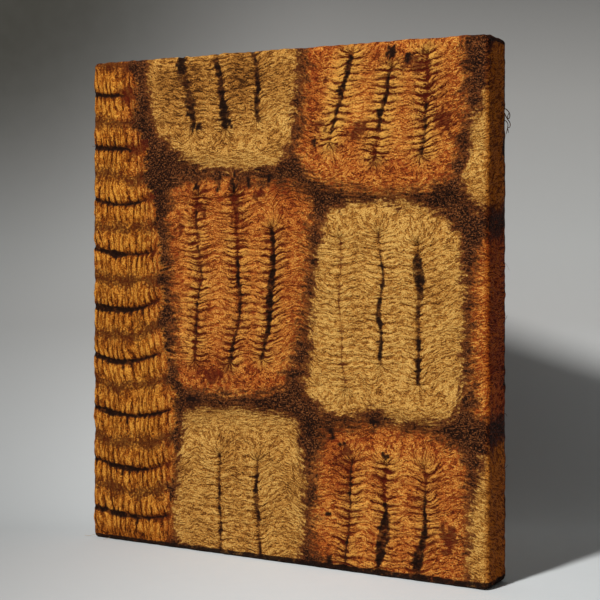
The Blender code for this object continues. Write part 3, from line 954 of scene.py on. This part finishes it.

# %% [markdown]
# ## Crinkle
#
# Raffia is a flat leaf fibre, and once dyed it shrivels into short strokes: rounded ridges with thin grooves
# between. The material colours them pale on the ridges and dark in the grooves, and that dark is painted
# shade. They run along the ribs. A noise that changes slowly over the cloth and fast along the flow gives
# strokes that follow every turn of it. A sine of the flow gives the ribs of the mesh again, and another one
# ribs half as wide, which come and go in patches. The group is used once for the blocks and once for the
# strip.

# %% Group: crinkled raffia
CRINKLE_INPUTS = ("Pitch", "Fine ribs", "Stroke length", "Stroke pitch", "Layer")
crinkle, given = new_group(
    "crinkled raffia", {"Cut": None, "Flow": 0.0, "Share": 0.0, **dict.fromkeys(CRINKLE_INPUTS, 1.0)}
)
HAIR_LENGTH = 1.5
HAIR_PITCH = 0.8
STREAK_LENGTH = 14.0
STREAK_PITCH = 3.4


def streaks(flow_at, length, pitch, layer, detail=1.0):
    """A noise drawn out along lines of equal flow."""
    parts = all_outputs(add(crinkle, "SeparateXYZ", {0: given["Cut"]}))
    places = {"X": parts["X"] / length, "Y": parts["Y"] / length, "Z": flow_at / pitch + layer}
    return cloud(add(crinkle, "CombineXYZ", places), 1.0, detail, 0.6)


def wave(flow_at, pitch, power):
    """1 along the crests and 0 in the grooves between them."""
    height = math_node("ABSOLUTE", math_node("SINE", flow_at / pitch * math.pi))
    return math_node("POWER", height, power)


curl = (cloud(given["Cut"], 0.18) - 0.5) * 4.6
curled = given["Flow"] + curl
broad_rib = wave(given["Flow"], given["Pitch"], 0.55)
fine_rib = wave(given["Flow"] + curl * 0.5, given["Pitch"] * 0.5, 0.6)
fine_share = between(cloud(given["Cut"], 0.07, 1.0), 0.38, 0.6) * given["Share"]
fine_dip = (1.0 - fine_rib) * fine_share * given["Fine ribs"]
dip = math_node("MAXIMUM", (1.0 - broad_rib) * given["Share"], fine_dip)
strokes = streaks(curled, given["Stroke length"], given["Stroke pitch"], given["Layer"], 2.0)
finish_group(crinkle, {
    "Rib": 1.0 - dip,
    "Ridge": between(strokes, 0.37, 0.56),
    "Fine": streaks(curled, HAIR_LENGTH, HAIR_PITCH, given["Layer"] + 11.3, 2.0),
    "Streak": streaks(curled, STREAK_LENGTH, STREAK_PITCH, given["Layer"] + 23.7),
})

# %% [markdown]
# ## Weave
#
# Under the crinkle the cloth is a plain weave of strands about a millimetre wide. On the flat dark ground
# it shows as small dull specks, some level and some upright, where a strand lies on top.

# %% Group: raffia weave
STRAND_LENGTH = 2.4
STRAND_WIDTH = 0.9
weave, given = new_group("raffia weave", {"Cut": None})


def stretched(wide, tall, layer):
    """A noise whose bumps are wide by tall millimetres."""
    scale = (1 / wide, 1 / tall, 1.0)
    sized = add(weave, "VectorMath", {0: given["Cut"], 1: scale}, operation="MULTIPLY")
    moved = add(weave, "VectorMath", {0: sized, 1: (layer, layer * 0.7, layer)}, operation="ADD")
    return cloud(moved, 1.0, 1.0)


level_strands = stretched(STRAND_LENGTH, STRAND_WIDTH, 21.3)
standing_strands = stretched(STRAND_WIDTH, STRAND_LENGTH, 27.9)
strands = math_node("MAXIMUM", level_strands, standing_strands)
finish_group(weave, {"Strand": strands, "Speck": between(strands, 0.42, 0.78)})

# %% [markdown]
# ## Dyes
#
# Each dye is a ramp from the colour in its valleys to the colour on its ridges. The ramp is driven by the
# lightness, so its dark end is partly the dye and partly painted shade in the valleys. The depth inside an
# outline picks the dye. Noise is added to it first, which frays the edge, and a narrow rim of rusty brown is
# left between the gold and the dark ground, as where one dye bled into the other. The rust has red patches
# and golden crests beside its threads, and the strip's rows turn rusty at their ends, with brown bands
# between.

# %% Group: resist dye
# From valley to crest; the dark ends are partly dye and partly painted shade in the valleys.
GOLD_AND_PAINTED_SHADE = ((0.0, 62, 34, 12), (0.3, 128, 77, 28), (0.62, 190, 130, 56), (1.0, 232, 182, 98))
RUST_AND_PAINTED_SHADE = ((0.0, 60, 19, 7), (0.3, 114, 46, 15), (0.58, 172, 84, 29), (0.8, 206, 124, 48), (1.0, 236, 172, 82))
AMBER_AND_PAINTED_SHADE = ((0.0, 48, 17, 3), (0.3, 108, 50, 10), (0.62, 178, 100, 25), (1.0, 234, 164, 64))
GROUND = ((0.0, 26, 12, 5), (0.4, 58, 29, 13), (0.75, 104, 55, 26), (1.0, 136, 84, 44))
RED = screen(142, 50, 18)
MAROON = screen(84, 24, 9)
# The dark of the stains, also used for the painted shade in the sides' creases.
STAIN_AND_PAINTED_SHADE = screen(26, 13, 8)
HALO = screen(76, 38, 18)
BAND = screen(76, 27, 9)
CREST = screen(234, 170, 76)
# The tint of the painted shade on the sides.
PAINTED_SIDE_SHADE = screen(222, 160, 34)
EDGE = screen(116, 60, 24)
DYE_VALUES = {
    "Gold depth": "gold_depth",
    "Rust depth": "rust_depth",
    "Strip depth": "strip_depth",
    "Ribbed": "crest_gold",
    "Band": "band",
}
dye, given = new_group(
    "resist dye", {"Cut": None, **dict.fromkeys((*DYE_VALUES, "Light", "Speck", "Streak"), 0.0)}
)
broad = cloud(given["Cut"], 0.06)
fray = cloud(given["Cut"], 0.4)
clouds = cloud(given["Cut"], 0.045, 3.0)
patches = cloud(given["Cut"], 0.1, 3.0)
ragged = (broad - 0.5) * 1.4 + (fray - 0.5) * 1.5 + (given["Streak"] - 0.5) * 1.9
gold_in = given["Gold depth"] + ragged
rust_in = given["Rust depth"] + ragged * 1.4
strip_in = given["Strip depth"] + ragged
gold, rust, amber = [ramp(given["Light"], stops) for stops in (GOLD_AND_PAINTED_SHADE, RUST_AND_PAINTED_SHADE, AMBER_AND_PAINTED_SHADE)]

ground = ramp(math_node("SUBTRACT", given["Speck"] * 1.35 + clouds * 1.1, 0.67, clamp=True), GROUND)
amber = mix(between(strip_in, 2.0, 0.2) * 0.6, amber, rust)
banded = given["Band"] + (fray - 0.5) * 2.2 + (broad - 0.5) * 1.6
amber = mix(between(banded, 0.05, 0.8) * 0.84, amber, BAND)
colour = mix(between(strip_in, -0.35, 0.35), ground, amber)
colour = mix(between(rust_in, -1.0, 0.0) * 0.55, colour, EDGE)
rust = mix(between(patches, 0.52, 0.68) * 0.5, rust, RED)
golden = between(given["Light"], 0.25, 0.7) * given["Ribbed"] * between(clouds, 0.25, 0.5)
rust = mix(golden * 0.7, rust, CREST)
colour = mix(between(rust_in, -0.5, 0.7), colour, rust)
colour = mix(between(gold_in, -0.7, 0.0) * 0.7, colour, EDGE)
colour = mix(between(gold_in, -0.2, 0.4), colour, gold)
finish_group(dye, {"Dye": colour})

# %% [markdown]
# ## The cloth's material
#
# The lightness that goes into the dye ramps adds up ribs, crinkle, single fibres and fine grain, less the
# shades and the furrows. Grain, tone and the shades are the cloth's own; through the ribs, crinkle and
# furrows it paints shade into the grooves and furrows and lightens the crests, as painted shade the bump
# can't give.
# The stains lie over the dyes, each dark one with a brown halo. The sides get painted shade in their creases,
# and the right side, facing away from the key light, a deeper painted-shade tint. Height for the bump comes
# from the same crinkle, so that light and colour agree.

# %% Material: stitch-dyed raffia
raffia, tree, shader = new_material("stitch dyed raffia")
place = add(tree, "Attribute", {}, "Vector", attribute_name="cut")
in_rows = value_of(tree, "strip_share")
crinkles = []
for flow_name, share_name, *numbers in (
    ("flow", "rib_share", RIB_PITCH, 0.8, 6.0, 1.6, 3.1),
    ("strip_flow", "strip_fade", STRIP_PITCH, 0.3, 9.0, 2.4, 8.1),
):
    inputs = {"Cut": place, "Flow": value_of(tree, flow_name), "Share": value_of(tree, share_name)}
    inputs.update(zip(CRINKLE_INPUTS, numbers))
    crinkles.append(all_outputs(add(tree, "Group", inputs, node_tree=crinkle)))


def crinkled(name):
    """One output of the crinkle, from the blocks or from the strip."""
    inputs = {"Factor": in_rows, 2: crinkles[0][name], 3: crinkles[1][name]}
    return add(tree, "Mix", inputs, data_type="FLOAT")


woven = all_outputs(add(tree, "Group", {"Cut": place}, node_tree=weave))
rib = crinkled("Rib")
ridge = crinkled("Ridge")
fine = crinkled("Fine")
grain = cloud(place, 0.85, 2.0, 0.7)
tone = cloud(place, 0.035)
# Ribs, crinkle and furrows darken the grooves and lighten the crests as painted shade; grain, tone and the
# shades are the cloth's own colour.
rib_light = (rib - 0.72) * (value_of(tree, "crest_gold") * 0.45 + 0.6) + 0.432
light = ridge * 0.42 + fine * 1.2 + grain * 1.4 + rib_light + tone * 0.4
light = light - value_of(tree, "shade") * 0.34 - value_of(tree, "furrow") * 0.2
light = math_node("SUBTRACT", light, 1.71, clamp=True)
print("lightness adds up", len(tree.nodes), "nodes")

# %% Dyes, stains, painted shade on the sides, and bump
dye_inputs = {"Cut": place, "Light": light, "Speck": woven["Speck"], "Streak": crinkled("Streak")}
dye_inputs.update({socket: value_of(tree, name) for socket, name in DYE_VALUES.items()})
dyed = add(tree, "Group", dye_inputs, node_tree=dye)
grit = (cloud(place, 0.3, 4.0, 0.7) - 0.5) * 1.5
blotch = cloud(place, 0.13) * 1.5 + 0.15
reddened = value_of(tree, "flush") * blotch + grit
# The stain value includes the painted shade along the bottom edge.
darkened = value_of(tree, "stain") * blotch + grit
colour = mix(between(reddened, 0.15, 0.85) * 0.85, dyed, MAROON)
colour = mix(between(darkened, 0.15, 0.5) * 0.75, colour, HALO)
colour = mix(between(darkened, 0.45, 0.85) * 0.93, colour, STAIN_AND_PAINTED_SHADE)
# Painted shade in the creases of the sides, darker between the crinkle's ridges.
colour = mix((1.0 - ridge) * 0.35 * value_of(tree, "side"), colour, STAIN_AND_PAINTED_SHADE)
# Painted shade: the right side, facing away from the key light, is tinted darker, the other sides a little.
colour = mix(value_of(tree, "painted_shade_tint"), colour, PAINTED_SIDE_SHADE, "MULTIPLY")
height = ridge * 0.65 + grain * 1.4 + fine * 1.3 + rib * 0.75 + woven["Strand"] * 0.14
fill(shader, {
    "Base Color": colour,
    "Normal": add(tree, "Bump", {"Height": height, "Strength": 1.0, "Distance": 1.1 * MM}),
    "Roughness": 0.92 - light * 0.32,
    "Specular IOR Level": 0.07,
})
print("material:", raffia.name, "with", len(tree.nodes), "nodes")

# %% [markdown]
# ## The sheet in the place of its solid
#
# The sheet becomes an object at the origin, because its place is already in its mesh. It rides on the one
# body and stands for the cloth's solid, which is hidden.

# %% Put the sheet in the place of its solid


def new_object(name, data):
    """An object at the origin, in the scene."""
    made = bpy.data.objects.new(name, data)
    bpy.context.scene.collection.objects.link(made)
    return made


cloth = new_object("raffia_cloth_sheet", sheet_mesh)
sheet_mesh.materials.append(raffia)
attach(cloth, "root")
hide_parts("raffia_cloth")
print(cloth.name, "has", len(sheet_mesh.polygons), "faces")

# %% [markdown]
# ## Pine bars
#
# The bars are plain softwood: pale, with long yellowish grain along each bar. The grain is a noise that is
# stretched along the bar, and the rings show as soft bands. Both come from object coordinates, so two
# materials are enough: one with the grain level, for the top and bottom bars, and one with it upright.

# %% Group: pine grain
PINE = ((0.0, 176, 128, 76), (0.5, 206, 164, 110), (1.0, 222, 186, 136))
pine_grain, given = new_group("pine grain", {"Vector": None, "Stretch": (1.0, 1.0, 1.0)})
drawn = add(pine_grain, "VectorMath", {0: given["Vector"], 1: given["Stretch"]}, operation="MULTIPLY")
fibres = cloud(drawn, 1.0, 4.0, 0.6)
rings = (math_node("SINE", fibres * 42.0) + 1.0) * 0.5
both = rings * 0.45 + fibres * 0.55
finish_group(pine_grain, {"Wood": ramp(both, PINE), "Grain": both})

# %% Two pine materials for the four bars
ALONG = 9.0
ACROSS = 140.0


def pine_material(name, stretch):
    material, tree, shader = new_material(name)
    inputs = {"Vector": add(tree, "TexCoord", {}, "Object"), "Stretch": stretch}
    wood = all_outputs(add(tree, "Group", inputs, node_tree=pine_grain))
    fill(shader, {
        "Base Color": wood["Wood"],
        "Roughness": 0.75 - wood["Grain"] * 0.2,
        "Normal": add(tree, "Bump", {"Height": wood["Grain"], "Strength": 0.5, "Distance": 0.2 * MM}),
    })
    return material


level_pine = pine_material("pine grain level", (ALONG, ACROSS, ACROSS))
upright_pine = pine_material("pine grain upright", (ACROSS, ACROSS, ALONG))
for name in BARS:
    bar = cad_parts[name]
    bar.data.materials.clear()
    bar.data.materials.append(level_pine if name.endswith(("top", "bottom")) else upright_pine)
print("bars in pine:", len(BARS))

# %% [markdown]
# ## Loose fibres
#
# Where the cloth turns over the bars, a few fibres have come loose. Each is drawn as a thin tube along a
# short curve. A curve with a round bevel makes the tube, and it is turned into a mesh so that the fibres of
# each tone, dark or pale, are one light piece. A point is given by how far it is out from the right side (1)
# or the left side (-1), then its depth and its height.

# %% Places of the loose fibres
Fibre = namedtuple("Fibre", "side thickness tone points")
HALF_WIDTH = WIDTH / 2 / MM
FIBRES = table(
    Fibre,
    (1, 0.5, "dark", ((-0.6, 19, 402), (2.5, 20, 400), (4.5, 20, 396), (3, 20.5, 392), (1.5, 20, 395),
                      (3.5, 20, 398))),
    (1, 0.5, "dark", ((-0.6, 19, 398), (1.5, 20, 393), (4.8, 20, 389), (4, 20, 385), (1.6, 20, 386),
                      (3, 20, 381))),
    (1, 0.45, "dark", ((-0.6, 18.5, 392), (2.6, 20, 390), (2.2, 20, 385), (0.8, 20, 380))),
    (1, 0.13, "pale", ((-0.6, 19, 271), (1.6, 20, 269), (3.6, 20, 264))),
    (-1, 0.34, "dark", ((-0.8, -14, 381), (1.6, -15, 380), (3.4, -16, 380.6))),
    (-1, 0.15, "dark", ((-1, -14, 376), (0.9, -15, 374.5), (1.6, -15, 372))),
    (-1, 0.16, "pale", ((-4, -17, 3.2), (1, -20, 1.6), (6, -21, 0.8), (8, -22, 1.6))),
    (-1, 0.14, "pale", ((-20, -17.5, 2.4), (-19, -21, 0.9), (-17, -25, 0.4))),
    (1, 0.24, "dark", ((-0.4, 18.8, 96), (1.4, 19.6, 97), (2.0, 19.8, 99))),
    (1, 0.24, "dark", ((-0.4, 18.8, 143), (1.1, 19.6, 142), (1.8, 19.8, 140))),
    (1, 0.24, "dark", ((-0.4, 18.8, 222), (1.4, 19.6, 223), (1.6, 19.9, 226))),
)
print(len(FIBRES), "loose fibres")

# %% Draw the loose fibres


def fibre_material(name, colour):
    material, tree, shader = new_material(name)
    streak = cloud(add(tree, "TexCoord", {}, "Object"), 900.0)
    fill(shader, {"Base Color": mix(streak, colour, screen(120, 70, 34)), "Roughness": streak * 0.3 + 0.55})
    return material


def draw_fibres(name, tone, material):
    curve = settle(
        bpy.data.curves.new(name, "CURVE"),
        dimensions="3D", resolution_u=5, bevel_resolution=1, bevel_depth=1.0 * MM, use_fill_caps=True,
    )
    for fibre in [fibre for fibre in FIBRES if fibre.tone == tone]:
        spline = curve.splines.new("NURBS")
        spline.points.add(len(fibre.points) - 1)
        settle(spline, order_u=3, use_endpoint_u=True)
        for number, (point, (out, y, z)) in enumerate(zip(spline.points, fibre.points)):
            point.co = (fibre.side * (HALF_WIDTH + out) * MM, y * MM, z * MM, 1)
            point.radius = fibre.thickness * (1 - 0.5 * number / len(fibre.points))
    holder = new_object(name, curve)
    bpy.context.view_layer.update()
    mesh = bpy.data.meshes.new_from_object(holder.evaluated_get(bpy.context.evaluated_depsgraph_get()))
    bpy.data.objects.remove(holder)
    mesh.materials.clear()
    mesh.materials.append(material)
    piece = new_object(name, mesh)
    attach(piece, "root")
    print(name, "has", len(mesh.polygons), "faces")
    return piece


dark_fibres = draw_fibres("loose_fibres_dark", "dark", fibre_material("dark fibre", screen(44, 24, 14)))
pale_fibres = draw_fibres("loose_fibres_pale", "pale", fibre_material("pale fibre", screen(206, 178, 128)))

# %% [markdown]

# %% [markdown]
# ## Backdrop
#
# The panel stands on a pale paper that sweeps up into a wall behind it. Its colour is darker up the wall, at
# the
# left and in the upper left corner: painted shade, where the light falls off. The paper is seen from its
# front
# only: its back lets light and the camera through, so the panel can be looked at from behind too.

# %% Paper sweep
CAMERA_AT = Vector((0.62768, -1.07813, 0.2967))
CAMERA_TURN = 0.51682
AHEAD = Vector((-math.sin(CAMERA_TURN), math.cos(CAMERA_TURN), 0))
ASIDE = Vector((math.cos(CAMERA_TURN), math.sin(CAMERA_TURN), 0))
PAPER_START = -3.0
PAPER_TOP = 2.6
PAPER_HALF_WIDTH = 2.6
WALL_AT = 1.56
SWEEP_ROUND = 0.19
SWEEP_STEPS = 16


def sweep_profile():
    """Distance ahead of the camera and height of each line of the paper."""
    profile = [(PAPER_START, 0.0), (WALL_AT - SWEEP_ROUND, 0.0)]
    for step in range(1, SWEEP_STEPS + 1):
        angle = math.pi / 2 * step / SWEEP_STEPS
        ahead = WALL_AT - SWEEP_ROUND + SWEEP_ROUND * math.sin(angle)
        profile.append((ahead, SWEEP_ROUND * (1 - math.cos(angle))))
    return [*profile, (WALL_AT, PAPER_TOP)]


def make_sweep():
    bm = bmesh.new()
    start = Vector((CAMERA_AT.x, CAMERA_AT.y, 0)) - ASIDE * PAPER_HALF_WIDTH
    line = [bm.verts.new(start + AHEAD * ahead + Vector((0, 0, up))) for ahead, up in sweep_profile()]
    edges = [bm.edges.new(pair) for pair in zip(line, line[1:])]
    made = bmesh.ops.extrude_edge_only(bm, edges=edges)["geom"]
    moved = [part for part in made if isinstance(part, bmesh.types.BMVert)]
    bmesh.ops.translate(bm, verts=moved, vec=ASIDE * 2 * PAPER_HALF_WIDTH)
    for face in bm.faces:
        face.normal_update()
        if face.normal.z < -0.01 or face.normal.dot(AHEAD) > 0.5:
            face.normal_flip()
    mesh = mesh_of(bm, "paper_sweep")
    mesh.shade_smooth()
    return mesh


backdrop = new_object("paper_sweep", make_sweep())
print("sweep:", len(backdrop.data.polygons), "faces")

# %% Material: pale paper with painted shade, darker up the wall, at the left and in the upper left corner
# Pale paper on the floor, with painted shade that deepens up the wall.
PAPER_WITH_PAINTED_FALLOFF = (
    (0.0, 222, 227, 230),
    (0.33, 196, 197, 197),
    (0.47, 189, 191, 191),
    (0.75, 162, 162, 161),
    (0.95, 122, 122, 121),
)
TONES_REACH = 0.6
# Centre of the painted shade in the upper left corner.
PAINTED_SHADE_CORNER = CAMERA_AT + AHEAD * WALL_AT - ASIDE * 0.42
PAINTED_SHADE_CORNER.z = 0.66
paper, tree, shader = new_material("paper with painted shade")
place = add(tree, "TexCoord", {}, "Object")
height_up = add(tree, "SeparateXYZ", {0: place}, "Z")
painted_shade_tint = ramp(math_node("DIVIDE", height_up, TONES_REACH, clamp=True), PAPER_WITH_PAINTED_FALLOFF, "LINEAR")
aside = add(tree, "VectorMath", {0: place, 1: ASIDE}, "Value", operation="DOT_PRODUCT")
aside = aside - CAMERA_AT.dot(ASIDE)
# Painted shade towards the left.
painted_shade_tint = mix(between(aside, 0.05, -0.45) * 0.72, painted_shade_tint, screen(108, 109, 109))
from_corner = add(tree, "VectorMath", {0: place, 1: PAINTED_SHADE_CORNER}, "Value", operation="DISTANCE")
# Painted shade in the upper left corner.
painted_shade_tint = mix(between(from_corner, 0.48, 0.15), painted_shade_tint, screen(58, 57, 52))
tooth = cloud(place, 60.0, 4.0) * 0.05
painted_shade_tint = mix(tooth, painted_shade_tint, screen(150, 150, 148))
fill(shader, {"Base Color": painted_shade_tint, "Roughness": 0.95, "Specular IOR Level": 0.2})
front = Wire(tree, shader.outputs[0])
behind = add(tree, "NewGeometry", {}, "Backfacing")
chosen = add(tree, "MixShader", {0: behind, 1: front, 2: add(tree, "BsdfTransparent", {})})
fill(tree.nodes["Material Output"], {"Surface": chosen})
backdrop.data.materials.append(paper)
print("material:", paper.name, "with", len(tree.nodes), "nodes")

# %% [markdown]
# ## Light and camera
#
# One fairly small soft light stands high at the front left, so that every level rib has a lit upper side and
# a dark lower one and the right side falls into shade. A grey surround fills the shadows a little.

# %% Key light and surround
LIGHT_AZIMUTH = math.radians(8.0)
LIGHT_HEIGHT = math.radians(40.0)
LIGHT_DISTANCE = 3.0
PANEL_MIDDLE = Vector((0, 0, HEIGHT / 2))
towards_light = Vector((
    -math.sin(LIGHT_AZIMUTH) * math.cos(LIGHT_HEIGHT),
    -math.cos(LIGHT_AZIMUTH) * math.cos(LIGHT_HEIGHT),
    math.sin(LIGHT_HEIGHT),
))
key_data = bpy.data.lights.new("key light", "AREA")
settle(key_data, shape="DISK", size=0.26, energy=105, color=(1.0, 0.98, 0.95))
key = new_object("key light", key_data)
key.location = PANEL_MIDDLE + towards_light * LIGHT_DISTANCE
key.rotation_euler = towards_light.to_track_quat("Z", "Y").to_euler()

surround = bpy.data.worlds.new("grey surround")
surround.use_nodes = True
background = surround.node_tree.nodes["Background"]
fill(background, {"Color": (1.0, 0.96, 0.9, 1), "Strength": 0.045})
bpy.context.scene.world = surround
bpy.context.scene.view_settings.view_transform = "Standard"
print("key light at", [round(part, 2) for part in key.location])

# %% Camera
camera_data = bpy.data.cameras.new("camera")
settle(camera_data, sensor_width=36, lens=82.13, shift_x=0.0012, shift_y=-0.1133)
camera = new_object("camera", camera_data)
settle(camera, location=CAMERA_AT, rotation_euler=(math.radians(90), 0, CAMERA_TURN))
bpy.context.scene.camera = camera
print("camera looks along", [round(part, 3) for part in AHEAD])
